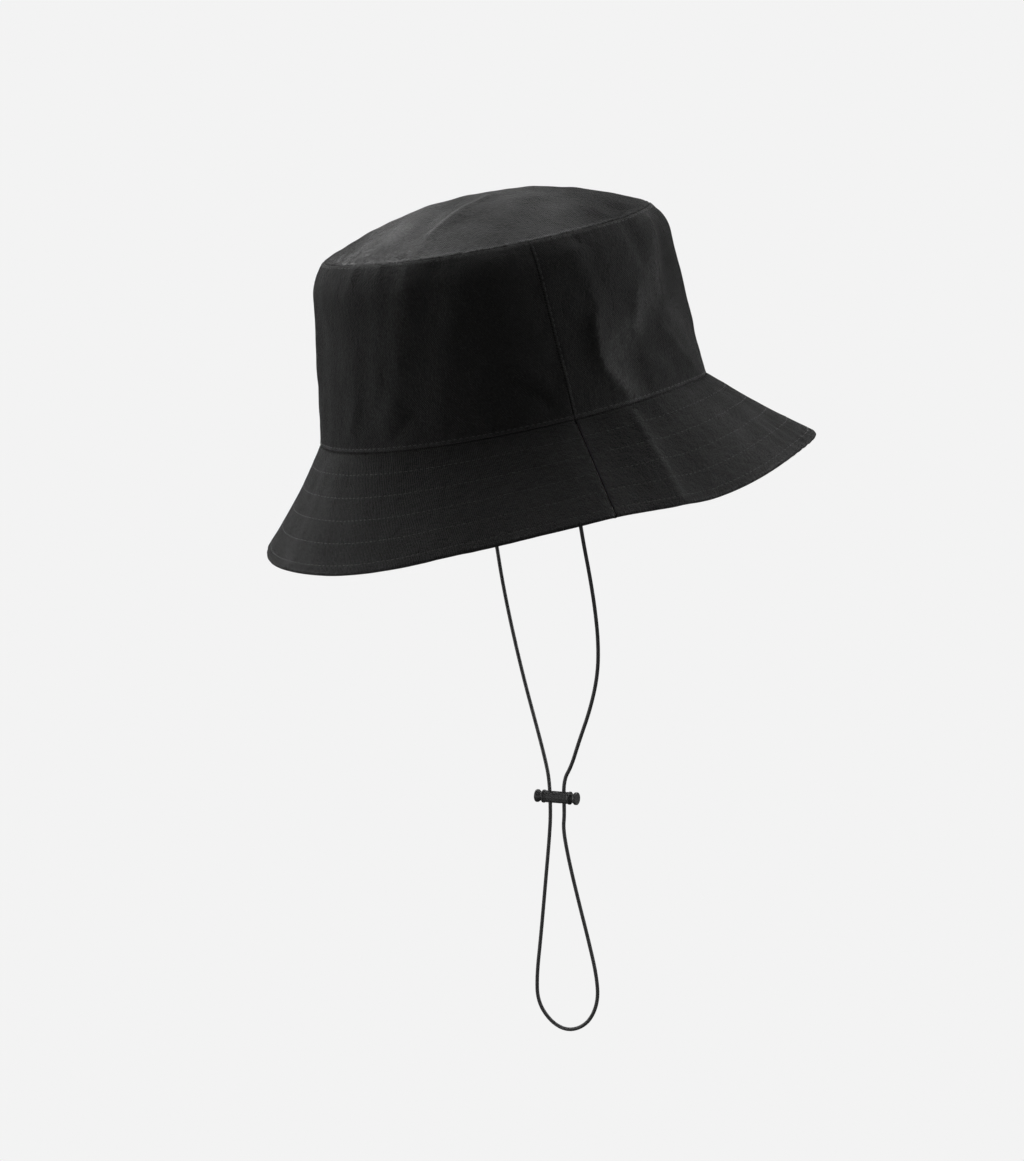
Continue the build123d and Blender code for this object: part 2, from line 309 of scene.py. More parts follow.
def wall_point(u, run, depth=0.0, extra=0.0):
    """A point of the wall, `depth` inside its outer face."""
    turn = turn_at(u)
    base, out = seam_point(turn)
    share, up, angle = wall_section(run)
    lift = wall_relief(turn, u, run) + extra - depth
    foot = around(turn, FOOT_SHIFTS)
    shift = foot + (around(turn, TOP_SHIFTS) - foot) * run / WALL_RUN
    across = -lean(turn) * share + lift * np.cos(angle) + shift
    risen = up / WALL_HEIGHT
    z = risen * around(turn, WALL_TOPS) + (1 - risen) * around(turn, FOOT_RISES)
    z = z + lift * np.sin(angle)
    x = base[..., 0] + out[..., 0] * across
    y = base[..., 1] + out[..., 1] * across + z * CROWN_SET_BACK / WALL_HEIGHT
    return np.stack([x, y, z], -1)


def brim_relief(turn, u, run):
    """How far the folds lift the brim's cloth, without its seams."""
    lift = folds(u, run, BRIM_FOLDS)
    lift = lift + 0.35 * rumple_round(turn, run, 17, 60, 1.2)
    ripple = np.sin(2 * math.pi * u / 5.3 + 1.5 * rumple_round(turn, run, 23, 30))
    patch = bump(wrap(u - 101), 13) * smooth(30, 50, run)
    lift = lift + 0.45 * patch * ripple
    return lift * smooth(0, 12, run)


def brim_point(u, run, depth=0.0, extra=0.0):
    """A point of the brim, `depth` below its upper face."""
    turn = turn_at(u)
    base, out = seam_point(turn)
    slope = np.radians(around(turn, BRIM_SLOPES))
    dip = around(turn, BRIM_DIPS) * np.sin(math.pi * np.clip(run / BRIM_WIDTH, 0, 1))
    lift = brim_relief(turn, u, run) + extra - depth - dip
    across = run * np.cos(slope) + lift * np.sin(slope) + around(turn, FOOT_SHIFTS)
    z = around(turn, FOOT_RISES) - 0.3 - run * np.sin(slope) + lift * np.cos(slope)
    x = base[..., 0] + out[..., 0] * across
    y = base[..., 1] + out[..., 1] * across
    return np.stack([x, y, z], -1)


# ---------------------------------------------------------------- mesh helpers

def graded(start, end, fine, coarse, margin):
    """Places from start to end, closer together within `margin` of both ends."""
    near = np.arange(0, margin, fine)
    middle_count = max(2, round((end - start - 2 * margin) / coarse))
    middle = np.linspace(start + margin, end - margin, middle_count)
    return np.concatenate([start + near, middle, (end - near)[::-1]])


def new_mesh(name, points, faces, uv=None, wear_and_light=None):
    """A mesh object from points in millimetres, with a uv and a value of real wear and painted
    highlight and shade at each point.
    """
    mesh = bpy.data.meshes.new(name)
    mesh.from_pydata((points * MM).tolist(), [], faces.tolist())
    if uv is not None:
        layer = mesh.uv_layers.new(name="cloth")
        corner = np.empty(len(mesh.loops), int)
        mesh.loops.foreach_get("vertex_index", corner)
        layer.data.foreach_set("uv", (uv * MM)[corner].ravel())
    if wear_and_light is not None:
        layer = mesh.attributes.new("wear_and_light", "FLOAT", "POINT")
        layer.data.foreach_set("value", wear_and_light.astype(np.float32))
    mesh.polygons.foreach_set("use_smooth", np.ones(len(mesh.polygons), bool))
    mesh.update()
    piece = bpy.data.objects.new(name, mesh)
    bpy.context.scene.collection.objects.link(piece)
    return piece


def quads(rows, cols, closed=False):
    """Faces of a grid of points; closed joins the last column to the first."""
    r = np.arange(rows - 1)[:, None]
    c = np.arange(cols if closed else cols - 1)[None, :]
    n = (c + 1) % cols
    corners = [r * cols + c, r * cols + n, (r + 1) * cols + n, (r + 1) * cols + c]
    return np.stack([k + 0 * c * r for k in corners], -1).reshape(-1, 4)


def normals_of(points):
    """Outward directions of a grid of points."""
    n = np.cross(np.gradient(points, axis=1), np.gradient(points, axis=0))
    return n / np.maximum(np.linalg.norm(n, axis=-1, keepdims=True), 1e-9)


def cloth(name, points, thickness, uv, wear_and_light=None):
    """A closed shell of cloth: the grid is its face, and its back lies `thickness` behind."""
    rows, cols = points.shape[:2]
    total = rows * cols
    back = points - normals_of(points) * thickness
    faces = [quads(rows, cols), total + quads(rows, cols)[:, ::-1]]
    bottom = np.arange(cols)
    left = np.arange(rows) * cols
    for line in (bottom, (total - cols + bottom)[::-1], left[::-1], left + cols - 1):
        a, b = line[:-1], line[1:]
        faces.append(np.stack([b, a, a + total, b + total], -1))
    flat_uv = np.concatenate([uv.reshape(-1, 2)] * 2)
    flat_wear_and_light = None if wear_and_light is None else np.concatenate([wear_and_light.ravel()] * 2)
    both = np.concatenate([points.reshape(-1, 3), back.reshape(-1, 3)])
    return new_mesh(name, both, np.concatenate(faces), flat_uv, flat_wear_and_light)


def finish_piece(piece, body, material, nodes=()):
    piece.data.materials.clear()
    piece.data.materials.append(material)
    if nodes:
        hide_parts(*nodes)
    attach(piece, body)


# ---------------------------------------------------------------- seams

SIDE_SEAMS = (0.0, ROUND / 2)
EDGE_ROLL = 1.3            # half of the brim's whole thickness, turned round its edge
UNDER_FACE = 2.6           # the brim's lower face below its upper one


def from_side_seam(u):
    """Signed distance from the nearer side seam; past the seam is towards the back of the hat."""
    left = wrap(u)
    right = wrap(SIDE_SEAMS[1] - u)
    return np.where(np.abs(left) < np.abs(right), left, right)


def wall_seams(u, run):
    """Grooves, turned edges and stitch lines of the crown's wall."""
    turn = turn_at(u)
    aside = from_side_seam(u)
    left = WALL_RUN - run
    pucker = rumple_round(turn, run, 41, 8, 3.5)
    lift = -0.4 * bump(aside, 0.3) + 0.1 * bump(aside - 1.2, 1.8)
    lift = lift - 0.1 * bump(aside - SIDE_ROW, 0.5)
    lift = lift + 0.15 * pucker * bump(aside, 7)
    lift = lift - 1.3 * bump(run, 0.3) + 0.2 * bump(run - 1.0, 0.9)
    lift = lift - 0.14 * bump(run - BASE_ROW, 0.5)
    lift = lift + 0.22 * pucker * bump(run - 5, 5)
    lift = lift - 1.0 * bump(left, 0.35) + 0.06 * bump(left - 1.4, 1.2)
    lift = lift - 0.1 * bump(left - TIP_ROW, 0.5)
    return lift + 0.25 * pucker * bump(left - 5, 6)


def drift(u, share):
    """How far back the cut of the cloth runs beside the side seams; share is 1 at the brim."""
    return SEAM_DRIFT * share * (bump(wrap(u), 60) - bump(wrap(u - ROUND / 2), 60))


def crown_point(u, run, depth=0.0):
    place = u + drift(u, 1 - run / WALL_RUN)
    return wall_point(place, run, depth, extra=wall_seams(u, run))


def brim_seams(u, run):
    """Stitched channels, the pressed side seams and the tucked inner edge of the brim."""
    turn = turn_at(u)
    aside = np.abs(from_side_seam(u))
    lift = -0.6 * bump(run, 0.9) - 0.7 * bump(aside, 0.36) + 0.08 * bump(aside - 2.5, 2)
    pull = rumple_round(turn, run, 47, 7, 1.5)
    for row in BRIM_ROWS:
        lift = lift - 0.12 * bump(run - row, 0.6) + 0.08 * pull * bump(run - row, 4)
    return lift + 0.13 * rumple_round(turn, run, 53, 6, 4)


def brim_place(u, run):
    """Where on the brim's surface a point of its cloth lies, round the hat."""
    return u + drift(u, 1 - 0.75 * run / BRIM_WIDTH)


def brim_roll(run):
    """How far the face has turned down at the brim's outer edge."""
    past = np.clip(run - (BRIM_WIDTH - EDGE_ROLL), 0, EDGE_ROLL)
    return EDGE_ROLL - np.sqrt(EDGE_ROLL ** 2 - past ** 2)


def brim_top_point(u, run):
    relief = brim_seams(u, run) - brim_roll(run)
    return brim_point(brim_place(u, run), run, extra=relief)


def brim_under_point(u, run):
    """The brim's lower face, which turns up into the crown beside the seam."""
    relief = 0.6 * brim_seams(u, run) + 1.5 * bump(run, 1.5)
    return brim_point(brim_place(u, run), run, UNDER_FACE - brim_roll(run), relief)


# ---------------------------------------------------------------- panels

SEAM_GAP = 0.12            # between two panels, at the bottom of their groove
BODY = "hat"
FRONT = (-ROUND / 2 + SEAM_GAP, -SEAM_GAP)
BACK = (SEAM_GAP, ROUND / 2 - SEAM_GAP)


def panel_grid(span, runs, step=1.0):
    us = graded(span[0], span[1], 0.35, step, 4)
    return np.meshgrid(us, runs)


def add_panel(name, node, points, uv, thickness, material, wear_and_light=None):
    piece = cloth(name, points, thickness, uv, wear_and_light)
    finish_piece(piece, BODY, material, [node])


# Where the cloth is painted lighter and rubbed smoother, partly real wear and partly painted
# highlight, or left duller
# at a negative amount: a line of points as in WALL_FOLDS or BRIM_FOLDS, then width and amount.
WALL_WEAR_AND_HIGHLIGHTS = [
    ([(97, 88), (86, 68), (75, 53), (58, 42), (40, 30), (32, 22), (41, 5)], 7.5, 0.75),
    ([(92, 34), (104, 20), (114, 4)], 9.0, 0.7),
    ([(-73, 92), (-83, 57), (-93, 18)], 10.0, 0.5),
]
BRIM_WEAR_AND_LIGHT = [
    ([(-72, 0), (-72, 64)], 30.0, -0.6),
    ([(22, 0), (19, 64)], 8.0, -0.7),
    ([(-132, 0), (-138, 64)], 12.0, 0.35),
    ([(76, 0), (78, 64)], 18.0, 0.4),
]


def worn_and_lit_ridges(u, run):
    """Rubbed cloth along the wall's sharper ridges, and in a few broad bands: real wear and
    painted highlight together.
    """
    place = u + drift(u, 1 - run / WALL_RUN)
    height = run * WALL_HEIGHT / WALL_RUN
    sharp = [(line, 2.2, 0.35) for line, width, size in WALL_FOLDS if size >= 1 and width <= 4]
    return folds(place, height, sharp) + folds(place, height, WALL_WEAR_AND_HIGHLIGHTS)


def crown_wall(material):
    runs = graded(0, WALL_RUN, 0.35, 1.1, 5)
    for side, span in (("front", FRONT), ("back", BACK)):
        u, run = panel_grid(span, runs)
        points = crown_point(u, run)
        uv = np.stack([u, run], -1)
        # Painted lighter at the seam edges, along the sharper ridges and in broad bands: real wear
        # together with painted highlight.
        worn_and_lit = 0.7 * bump(run - 1.0, 0.8) + 0.6 * bump(WALL_RUN - run - 0.8, 1.0)
        worn_and_lit = worn_and_lit + 0.6 * bump(from_side_seam(u) - 1.0, 0.7) + worn_and_lit_ridges(u, run)
        add_panel(f"crown_wall_{side}", f"crown_{side}", points, uv, TWILL, material, worn_and_lit)


def disc_grid(places):
    """A square grid spread evenly over the unit disc."""
    a, b = np.meshgrid(places, places)
    wide = np.abs(a) > np.abs(b)
    safe_a = np.where(np.abs(a) < 1e-9, 1e-9, a)
    safe_b = np.where(np.abs(b) < 1e-9, 1e-9, b)
    reach = np.where(wide, a, b)
    angle = np.where(wide, math.pi / 4 * b / safe_a, math.pi / 2 - math.pi / 4 * a / safe_b)
    return reach * np.cos(angle), reach * np.sin(angle)


# Folds of the tip, as points across and along the hat, then width and height.
TIP_RIDGE = [(41, -41), (32, -27), (22, -12), (14, 2)]
TIP_FOLDS = [
    (TIP_RIDGE, 3.0, 1.0),
    ([(34, -47), (22, -32), (10, -18)], 5.0, -1.1),
    ([(28, -62), (8, -48), (4, -30)], 6.0, 0.7),
    ([(-4, -68), (-16, -60)], 5.0, -0.5),
    ([(58, -14), (40, 4), (30, 20)], 7.0, 0.6),
    ([(52, 10), (34, 30)], 8.0, -0.7),
    ([(66, 46), (54, 53), (40, 57)], 6.0, -2.8),
    ([(30, 74), (14, 66)], 6.0, 0.6),
    ([(-20, 30), (-44, 12)], 8.0, 0.7),
    ([(-30, -30), (-50, -14)], 7.0, -0.8),
]


def tip_point(px, py, depth=0.0, inset=0.0):
    """A point of the crown's tip from its place in the unit disc."""
    reach = np.hypot(px, py)
    turn = np.arctan2(py, px)
    base, out = seam_point(turn)
    edge = base - out * (lean(turn) - around(turn, TOP_SHIFTS) + inset)[..., None]
    size = np.linalg.norm(edge, axis=-1)
    flat = edge * reach[..., None]
    x, y = flat[..., 0], flat[..., 1]
    left = (1 - reach) * size
    lift = folds(x, y, TIP_FOLDS, wraps=False)
    lift = lift + 0.35 * rumple(x, y, 61, 46) + 0.26 * rumple(x, y, 67, 17)
    lift = lift * smooth(0, 5, left) + 0.22 * rumple(x, y, 71, 7) * bump(left - 4, 5)
    lift = lift - 1.0 * bump(left, 0.35)
    rim = around(turn, WALL_TOPS)
    middle = sum(top for _, top in WALL_TOPS) / len(WALL_TOPS)
    z = middle + (rim - middle) * reach + DOME_HEIGHT * (1 - reach ** 2) + lift - depth
    return np.stack([x, y + z * CROWN_SET_BACK / WALL_HEIGHT, z], -1)


def crown_tip(material):
    half = SEAM_LENGTH / 2 - LEAN_ENDS
    px, py = disc_grid(graded(-half, half, 0.35, 1.2, 4) / half)
    points = tip_point(px, py)
    uv = points[..., :2].copy()
    left = (1 - np.hypot(px, py)) * half
    x, y = uv[..., 0], uv[..., 1]
    # Painted lighter all over the tip as the light falls on its top, more at its rim, towards the
    # front and along its ridge, and less towards the back: painted highlight and painted shade,
    # with some real wear at the rim.
    worn_and_lit = 0.45 + 0.6 * bump(left - 1.4, 1.3) + 1.1 * smooth(-8, -64, y) - 1.1 * smooth(24, 58, y)
    worn_and_lit = worn_and_lit + fold(x, y, TIP_RIDGE, 1.3, 0.6, wraps=False)
    piece = cloth("crown_tip_cloth", points, TWILL, uv, worn_and_lit)
    finish_piece(piece, BODY, material, ["crown_tip"])


def brim(material, stiffener_material):
    fine = graded(-1.2, BRIM_WIDTH - EDGE_ROLL, 0.4, 0.95, 4)
    turned = BRIM_WIDTH - EDGE_ROLL + EDGE_ROLL * np.sin(np.linspace(0.12, 1, 9) * math.pi / 2)
    runs = np.concatenate([fine, turned])
    inner = np.linspace(1.5, BRIM_WIDTH - 1.8, 40)
    for side, span in (("front", FRONT), ("back", BACK)):
        u, run = panel_grid(span, runs[::-1])
        uv = np.stack([u * (1 + run / 100), run], -1)
        place = brim_place(u, run)
        # Painted lighter at the outer edge and side seams as real wear, and along the first fold
        # and in broad bands as painted highlight, less in two other bands.
        worn_and_lit = 0.8 * bump(BRIM_WIDTH - run, 1.2) + 0.3 * bump(from_side_seam(u), 1.2)
        worn_and_lit = worn_and_lit + fold(place, run, BRIM_FOLDS[0][0], 1.8, 0.6) + folds(place, run, BRIM_WEAR_AND_LIGHT)
        add_panel(f"brim_top_cloth_{side}", f"brim_top_{side}", brim_top_point(u, run), uv,
                  BRIM_TWILL, material, worn_and_lit)
        u, run = panel_grid(span, runs)
        uv = np.stack([u * (1 + run / 100), run], -1)
        worn_and_lit = bump(BRIM_WIDTH - run, 1.8)
        add_panel(f"brim_under_cloth_{side}", f"brim_under_{side}", brim_under_point(u, run), uv,
                  BRIM_TWILL, material, worn_and_lit)
        u, run = panel_grid(span, inner[::-1], 2.5)
        points = brim_point(brim_place(u, run), run, INTERLINING_DEPTH, 0.8 * brim_seams(u, run))
        add_panel(f"brim_interlining_{side}", f"brim_stiffener_{side}", points,
                  np.stack([u, run], -1), INTERLINING, stiffener_material, None)


def lining(material):
    runs = graded(2.0, WALL_RUN - 1.2, 0.5, 2.0, 5)
    for side, span in (("front", FRONT), ("back", BACK)):
        u, run = panel_grid(span, runs[::-1], 2.0)
        add_panel(f"lining_wall_{side}", f"lining_{side}", crown_point(u, run, LINING_DEPTH),
                  np.stack([u, run], -1), LINING, material, None)
    half = SEAM_LENGTH / 2 - LEAN_ENDS
    px, py = disc_grid(graded(-half, half, 0.6, 2.4, 4)[::-1] / half)
    points = tip_point(px[:, ::-1], py[:, ::-1], LINING_TIP_DEPTH, LINING_TIP_DEPTH)
    piece = cloth("lining_tip_cloth", points, LINING, points[..., :2].copy())
    finish_piece(piece, BODY, material, ["lining_tip"])


def sweatband_point(u, run, depth=BAND_DEPTH):
    """The sweatband's face; its upper edge is free and a little wavy."""
    free = smooth(20, 34, run)
    wave = 0.35 * free * rumple_round(turn_at(u), run, 83, 60, 4)
    return wall_point(u, run, depth + 0.3 * free + wave)


def sweatband(material):
    start, lower_edge, gap = ROUND / 4, 0.7, 0.2
    us = graded(start + gap, start + ROUND - gap, 0.5, 1.6, 4)
    runs = graded(lower_edge, lower_edge + BAND_HEIGHT, 0.3, 1.5, 2)
    u, run = np.meshgrid(us, runs[::-1])
    up = run - lower_edge
    welt = 0.5 * bump(up, 0.6) + 0.5 * bump(up - BAND_HEIGHT, 0.6)
    points = sweatband_point(u, run, BAND_DEPTH - welt)
    add_panel("sweatband_tape", "sweatband", points, np.stack([u, run], -1), BAND,
              material, None)


# ---------------------------------------------------------------- stitching

def stitch_row(surface, us, runs, pitch=STITCH_PITCH, outward=1):
    """Middle, direction along the row and outward direction of every stitch of a row."""
    line = surface(us, runs)
    along = np.concatenate([[0], np.cumsum(np.linalg.norm(np.diff(line, axis=0), axis=1))])
    count = int(along[-1] / pitch)
    at = (np.arange(count) + 0.5) * along[-1] / count
    u = np.interp(at, along, us)
    run = np.interp(at, along, runs)
    near, half = 0.4, 0.6
    middle = surface(u, run)
    across = surface(u + near, run) - surface(u - near, run)
    upward = surface(u, run + near) - surface(u, run - near)
    out = np.cross(across, upward) * outward
    out /= np.linalg.norm(out, axis=1, keepdims=True)
    ahead = np.interp(at + half, along, us), np.interp(at + half, along, runs)
    behind = np.interp(at - half, along, us), np.interp(at - half, along, runs)
    direction = surface(*ahead) - surface(*behind)
    direction /= np.linalg.norm(direction, axis=1, keepdims=True)
    return middle, direction, out, along[-1] / count


def stitches(name, rows, material):
    """One mesh of short raised stitches, each dipping into the cloth at both ends."""
    rng = np.random.default_rng(len(name))
    stations = np.array([-0.5, -0.42, -0.25, 0.0, 0.25, 0.42, 0.5])[:, None]
    thick = np.array([0.25, 0.75, 1.0, 1.05, 1.0, 0.75, 0.25])[:, None, None]
    arch = np.array([-1.5, -0.4, 0.3, 0.5, 0.3, -0.4, -1.5])[:, None, None]
    angles = np.arange(STITCH_SIDES) * 2 * math.pi / STITCH_SIDES
    one_stitch = quads(len(stations), STITCH_SIDES, closed=True)
    all_points, all_faces, all_uv, first = [], [], [], 0
    for middle, direction, out, pitch in rows:
        count = len(middle)
        aside = np.cross(direction, out)
        direction = direction + aside * rng.normal(0, 0.05, (count, 1))
        length = pitch * 0.74 * rng.uniform(0.93, 1.04, (count, 1, 1, 1))
        raise_by = rng.uniform(0.75, 1.15, (count, 1, 1, 1))
        centre = middle[:, None, None] + direction[:, None, None] * stations[..., None] * length
        centre = centre + out[:, None, None] * (arch * THREAD_RADIUS) * raise_by
        ring = (aside[:, None, None] * np.cos(angles)[:, None]
                + out[:, None, None] * np.sin(angles)[:, None] * 0.8)
        points = centre + ring * (thick * THREAD_RADIUS)
        starts = first + np.arange(count) * len(stations) * STITCH_SIDES
        along = (np.arange(count)[:, None, None] + stations) * pitch + 0 * angles
        all_points.append(points.reshape(-1, 3))
        all_faces.append((one_stitch + starts[:, None, None]).reshape(-1, 4))
        all_uv.append(np.stack([along, 0 * along + angles * THREAD_RADIUS], -1).reshape(-1, 2))
        first += points.size // 3
    piece = new_mesh(name, np.concatenate(all_points), np.concatenate(all_faces),
                     np.concatenate(all_uv))
    finish_piece(piece, BODY, material)


def all_round(run):
    us = np.linspace(-ROUND / 2, ROUND / 2, 900)
    return us, np.full_like(us, run)


def stitching(material, dark_material):
    rows = [
        stitch_row(crown_point, *all_round(BASE_ROW)),
        stitch_row(crown_point, *all_round(WALL_RUN - TIP_ROW)),
    ]
    runs = np.linspace(BASE_ROW + 1, WALL_RUN - TIP_ROW - 1, 120)
    for seam, towards_back in zip(SIDE_SEAMS, (1, -1)):
        line = np.full_like(runs, seam + towards_back * SIDE_ROW)
        rows.append(stitch_row(crown_point, line, runs))
    stitches("stitches_crown", rows, material)
    top = [stitch_row(brim_top_point, *all_round(row), outward=-1) for row in BRIM_ROWS]
    stitches("stitches_brim_top", top, material)
    under = [stitch_row(brim_under_point, *all_round(row), outward=1) for row in BRIM_ROWS]
    stitches("stitches_brim_under", under, material)
    u, run = all_round(3.0)
    rows = [stitch_row(sweatband_point, u, run, outward=-1)]
    end_runs = np.linspace(1.5, BAND_HEIGHT - 0.5, 60)
    for aside in (-3, 3):
        rows.append(stitch_row(sweatband_point, np.full_like(end_runs, ROUND / 4 + aside),
                               end_runs, outward=-1))
    stitches("stitches_sweatband", rows, dark_material)


# ---------------------------------------------------------------- chin cord

LEFT_RUN = [
    (81, 0, -2), (81, 0, -12), (78, 1, -27), (70.5, 2, -45), (61.5, 4, -66), (53, 6.5, -85.5),
    (45.5, 8, -106), (38, 8.5, -124.5), (31, 7, -142), (23.5, 2, -160), (15.5, -5.5, -178),
    (9, -10, -191), (3.02, -14.21, -199.1), (2.84, -15.56, -208),
]
RIGHT_RUN = [
    (-81, 0, -2), (-81, 0, -12), (-78.5, -1.5, -29), (-71, -4, -53), (-60.5, -8, -80),
    (-50.5, -11.5, -102), (-39, -14.2, -127), (-28, -16, -151), (-18, -17, -172),
    (-9, -18.3, -188), (-2.66, -19.89, -198.1), (-2.84, -21.24, -207),
]
LOOP = [
    (-2.84, -21.24, -207), (-3.02, -22.59, -215.9), (-4.5, -25.5, -229), (-7.5, -31.5, -253),
    (-11, -38.5, -281), (-13.5, -44.5, -303), (-14, -46.5, -317), (-9, -42.5, -328.5),
    (-1, -36, -333), (7.5, -27.5, -329), (11.5, -21, -318), (11.5, -19, -304),
    (9, -19, -284), (6, -19.5, -261), (3, -19.5, -241), (2, -19, -224.5),
    (2.66, -16.91, -216.9), (2.84, -15.56, -208),
]


def cord_line(route):
    """The smooth line of a cord in millimetres, read from the NURBS spline of its route."""
    curve = bpy.data.curves.new("route", "CURVE")
    curve.dimensions = "3D"
    curve.resolution_u = 24
    spline = curve.splines.new("NURBS")
    spline.points.add(len(route) - 1)
    for point, place in zip(spline.points, route):
        point.co = (*(MM * k for k in place), 1)
    spline.order_u = 3
    spline.use_endpoint_u = True
    carrier = bpy.data.objects.new("route", curve)
    mesh = bpy.data.meshes.new_from_object(carrier)
    line = np.array([v.co for v in mesh.vertices]) / MM
    bpy.data.meshes.remove(mesh)
    bpy.data.objects.remove(carrier)
    bpy.data.curves.remove(curve)
    return line


def evenly(line, step):
    along = np.concatenate([[0], np.cumsum(np.linalg.norm(np.diff(line, axis=0), axis=1))])
    at = np.linspace(0, along[-1], int(along[-1] / step) + 1)
    return np.stack([np.interp(at, along, line[:, k]) for k in range(3)], -1), at


def directions_along(line):
    """The direction of a line and two directions across it, without twist."""
    ahead = np.gradient(line, axis=0)
    ahead /= np.linalg.norm(ahead, axis=1, keepdims=True)
    side = np.cross(ahead[0], (0.3, 1, 0.2))
    sides = []
    for direction in ahead:
        side = side - direction * (side @ direction)
        side = side / np.linalg.norm(side)
        sides.append(side)
    sides = np.array(sides)
    return ahead, sides, np.cross(ahead, sides)


BRAID_STRANDS = 6          # in each of the braid's two directions
BRAID_PITCH = 5.0          # length in which a strand goes once round
CORD_SIDES = 28


def braided_cord(name, node, route, material):
    """One length of the cord, a braided tube along the smooth line of its route."""
    line, at = evenly(cord_line(route), 0.32)
    _, side, over = directions_along(line)
    around = np.arange(CORD_SIDES) * 2 * math.pi / CORD_SIDES
    phase = 2 * math.pi * at[:, None] / BRAID_PITCH
    one = np.cos(BRAID_STRANDS * (around + phase))
    other = np.cos(BRAID_STRANDS * (around - phase))
    radius = CORD_D / 2 * (0.965 + 0.035 * np.maximum(one, other))
    ring = side[:, None] * np.cos(around)[:, None] + over[:, None] * np.sin(around)[:, None]
    points = line[:, None] + ring * radius[..., None]
    faces = quads(len(line), CORD_SIDES, closed=True)
    uv = np.stack([0 * at[:, None] + around[::-1] * CORD_D / 2, at[:, None] + 0 * around], -1)
    piece = new_mesh(name, points.reshape(-1, 3), faces, uv.reshape(-1, 2))
    close_ends(piece)
    piece.data.materials.append(material)
    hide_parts(node)
    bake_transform(piece)


def close_ends(piece):
    mesh = piece.data
    shape = bmesh.new()
    shape.from_mesh(mesh)
    bmesh.ops.holes_fill(shape, edges=[e for e in shape.edges if e.is_boundary], sides=0)
    bmesh.ops.recalc_face_normals(shape, faces=shape.faces)
    shape.to_mesh(mesh)
    shape.free()


def chin_cord(material):
    braided_cord("cord_run_left", "chin_cord_left", LEFT_RUN, material)
    braided_cord("cord_run_right", "chin_cord_right", RIGHT_RUN, material)
    braided_cord("cord_run_loop", "chin_cord_loop", LOOP, material)


LOCK_CENTRE = (0, -18.4, -207.5)
LOCK_AXIS = (0.70, 0.70, -0.12)    # towards the left button
LOCK_UP = (0.02, 0.15, 0.99)
SPRING_COIL = 1.5          # radius of the coil, to the middle of its wire
SPRING_WIRE = 0.4
SPRING_REACH = 2.15        # from the middle of the lock to the wire's end
SPRING_TURNS = 2           # in each half


def lock_spring(material):
    """The coil between the two stems, in two halves, one towards each button that presses it."""
    centre, along, up = (np.array(k) for k in (LOCK_CENTRE, LOCK_AXIS, LOCK_UP))
    along = along / np.linalg.norm(along)
    across = np.cross(up, along)
    around = np.arange(10) * 2 * math.pi / 10
    for side, half in (("left", 1), ("right", -1)):
        share = np.linspace(0, 1, 25 * SPRING_TURNS)[:, None]
        turn = 2 * math.pi * SPRING_TURNS * share * half
        coil = SPRING_COIL * (np.cos(turn) * up + np.sin(turn) * across)
        line = centre + half * SPRING_REACH * share * along + coil
        _, one, other = directions_along(line)
        ring = one[:, None] * np.cos(around)[:, None] + other[:, None] * np.sin(around)[:, None]
        points = line[:, None] + SPRING_WIRE / 2 * ring
        faces = quads(len(line), len(around), closed=True)
        piece = new_mesh(f"spring_coil_{side}", points.reshape(-1, 3), faces)
        close_ends(piece)
        finish_piece(piece, "cord_lock", material, ["lock_spring"])
        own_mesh(piece)


TAB_HALF_WIDTH = 4.5
TAB_TOP = 13.0
TAB_BOTTOM = -5.0
TAB_TAPE = 0.9
TAB_DEPTH = 3.1            # of the leg nearer the wall, before the tab is moved in
TAB_SETBACK = 1.2          # how far the whole tab is moved in, towards the head
TAB_BEND = 1.55            # radius of the fold that holds the cord
TAB_CLOSING = 0.62         # how much of the gap between the legs the bar of stitches closes
BAR_HALF_WIDTH = 3.6
BAR_ROWS = (6.0, 6.7)


def cord_tabs(material, thread_material):
    """The folded tapes that hold the cord's ends, each a U of tape closed by a bar of stitches."""
    turns = np.linspace(0, math.pi, 13)[1:-1]
    fold_at = TAB_BOTTOM + TAB_BEND
    outer_leg = [(TAB_DEPTH, z) for z in np.linspace(TAB_TOP, fold_at, 16)]
    fold_line = [(TAB_DEPTH + TAB_BEND - TAB_BEND * math.cos(t), fold_at - TAB_BEND * math.sin(t))
                 for t in turns]
    inner_leg = [(TAB_DEPTH + 2 * TAB_BEND, z) for z in np.linspace(fold_at, TAB_TOP - 3, 14)]
    depth, up = np.array(outer_leg + fold_line + inner_leg).T
    middle_depth = TAB_DEPTH + TAB_BEND
    closed = TAB_CLOSING * smooth(2.5, 9, up)
    depth = middle_depth + (depth - middle_depth) * (1 - closed)
    face_depth = middle_depth + TAB_SETBACK + (1 - TAB_CLOSING) * TAB_BEND

    def inner_face(u, run):
        return wall_point(u, run, face_depth)

    across = graded(-TAB_HALF_WIDTH, TAB_HALF_WIDTH, 0.25, 0.5, 1)
    for side, centre in (("left", 0.0), ("right", ROUND / 2)):
        u = centre + across[None, :] + 0 * up[:, None]
        hug = 0.35 * (np.abs(across) / TAB_HALF_WIDTH) ** 4
        depths = depth[:, None] + (middle_depth - depth[:, None]) * hug[None, :]
        points = wall_point(u, up[:, None] + 0 * u, depths + TAB_SETBACK)
        uv = np.stack([u, up[:, None] + 20 * (depth[:, None] > middle_depth) + 0 * u], -1)
        piece = cloth(f"cord_tab_tape_{side}", points[::-1], TAB_TAPE, uv[::-1])
        finish_piece(piece, BODY, material, [f"cord_tab_{side}"])
        us = np.linspace(centre - BAR_HALF_WIDTH, centre + BAR_HALF_WIDTH, 12)
        rows = [stitch_row(inner_face, us, np.full_like(us, run), BAR_PITCH, outward=-1)
                for run in BAR_ROWS]
        stitches(f"stitches_cord_tab_{side}", rows, thread_material)


# ---------------------------------------------------------------- materials

